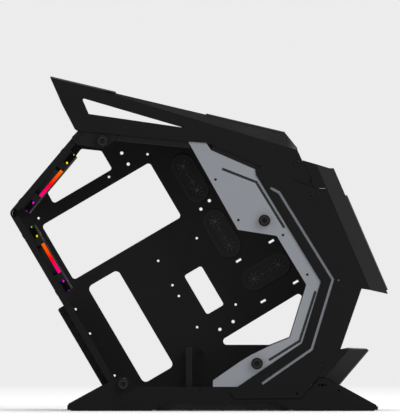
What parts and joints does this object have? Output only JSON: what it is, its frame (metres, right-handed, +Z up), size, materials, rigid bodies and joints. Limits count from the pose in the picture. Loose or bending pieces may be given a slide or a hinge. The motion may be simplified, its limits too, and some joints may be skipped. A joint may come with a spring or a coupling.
{
  "type": "mid-tower computer case",
  "caption": "Open-frame angular mid-tower computer case with layered side plates, tilted motherboard tray, wing-like roof, faceted front and two lit rear fans.",
  "frame": {"origin": "centre of the bounding box in plan, on the floor", "axes": "+X from the rear to the front, +Y from the near side of the picture to the far side, +Z up"},
  "size_m": [0.6075, 0.256, 0.538],
  "materials": {
    "black_steel": "fine satin black powder coat",
    "silver_plate": "fine blasted and clear anodised",
    "grey_steel": "satin dark grey",
    "edge_plate": "satin black anodised, bright at its edges",
    "rubber": "matt",
    "black_post": "turned and black anodised",
    "fan_black": "moulded",
    "fan_blade": "translucent smoke grey",
    "fan_light": "lit diffuser, orange to magenta",
    "fan_rim": "pale frosted",
    "dark_screw": "black zinc",
    "black_plastic": "moulded",
    "port_metal": "plated"
  },
  "bodies": {
    "frame": {"audio_jacks": "black_plastic", "base_side_far": "black_steel", "base_side_near": "black_steel", "corner_bracket_far": "grey_steel", "corner_bracket_near": "grey_steel", "dust_filter": "black_plastic", "fan_lower_frame": "fan_black", "fan_lower_light": "fan_light", "fan_lower_rim": "fan_rim", "fan_screws": "dark_screw", "fan_upper_frame": "fan_black", "fan_upper_light": "fan_light", "fan_upper_rim": "fan_rim", "floor_pan": "black_steel", "foot_pads": "rubber", "front_cover": "black_steel", "front_mesh": "black_steel", "front_plate": "edge_plate", "front_rail_far": "grey_steel", "front_rail_near": "grey_steel", "front_side_far": "black_steel", "front_side_near": "black_steel", "grommet_lower": "rubber", "grommet_middle": "rubber", "grommet_upper": "rubber", "insert_plate_far": "silver_plate", "insert_plate_near": "silver_plate", "io_housing": "black_plastic", "lower_front_cover": "black_steel", "lower_front_plate": "edge_plate", "motherboard_tray": "black_steel", "pan_strip_far": "black_steel", "pan_strip_near": "black_steel", "panel_knobs_far": "black_post", "panel_knobs_near": "black_post", "plate_screws_far": "dark_screw", "plate_screws_near": "dark_screw", "psu_bracket": "grey_steel", "rear_wall": "black_steel", "roof_cover": "black_steel", "roof_fan_panel": "black_steel", "roof_front_plate": "edge_plate", "roof_rear_plate": "edge_plate", "slot_bracket": "grey_steel", "slot_covers": "black_steel", "slot_screws": "dark_screw", "tie_bars": "dark_screw", "tie_screws_far": "dark_screw", "tie_screws_near": "dark_screw", "top_side_far": "black_steel", "top_side_near": "black_steel", "tray_screw": "black_steel", "upper_rail_far": "grey_steel", "upper_rail_near": "grey_steel", "usb_ports": "port_metal"},
    "lower_rotor": {"fan_lower_rotor": "fan_blade"},
    "upper_rotor": {"fan_upper_rotor": "fan_blade"},
    "power_key": {"power_button": "black_plastic"},
    "reset_key": {"reset_button": "black_plastic"}
  },
  "joints": [
    {"name": "fan_lower_spin", "type": "hinge", "parent": "frame", "child": "lower_rotor", "pos_m": [-0.24591, -0.048, 0.24095], "axis": [0.8625, 0, 0.506], "continuous": true},
    {"name": "fan_upper_spin", "type": "hinge", "parent": "frame", "child": "upper_rotor", "pos_m": [-0.24515, -0.048, 0.37162], "axis": [0.7638, 0, -0.6455], "continuous": true},
    {"name": "power_press", "type": "slide", "parent": "frame", "child": "power_key", "axis": [-0.2289, 0, -0.9734], "range_m": [0, 0.0012], "stiffness_N_per_m": 900},
    {"name": "reset_press", "type": "slide", "parent": "frame", "child": "reset_key", "axis": [-0.2289, 0, -0.9734], "range_m": [0, 0.0012], "stiffness_N_per_m": 700}
  ]
}
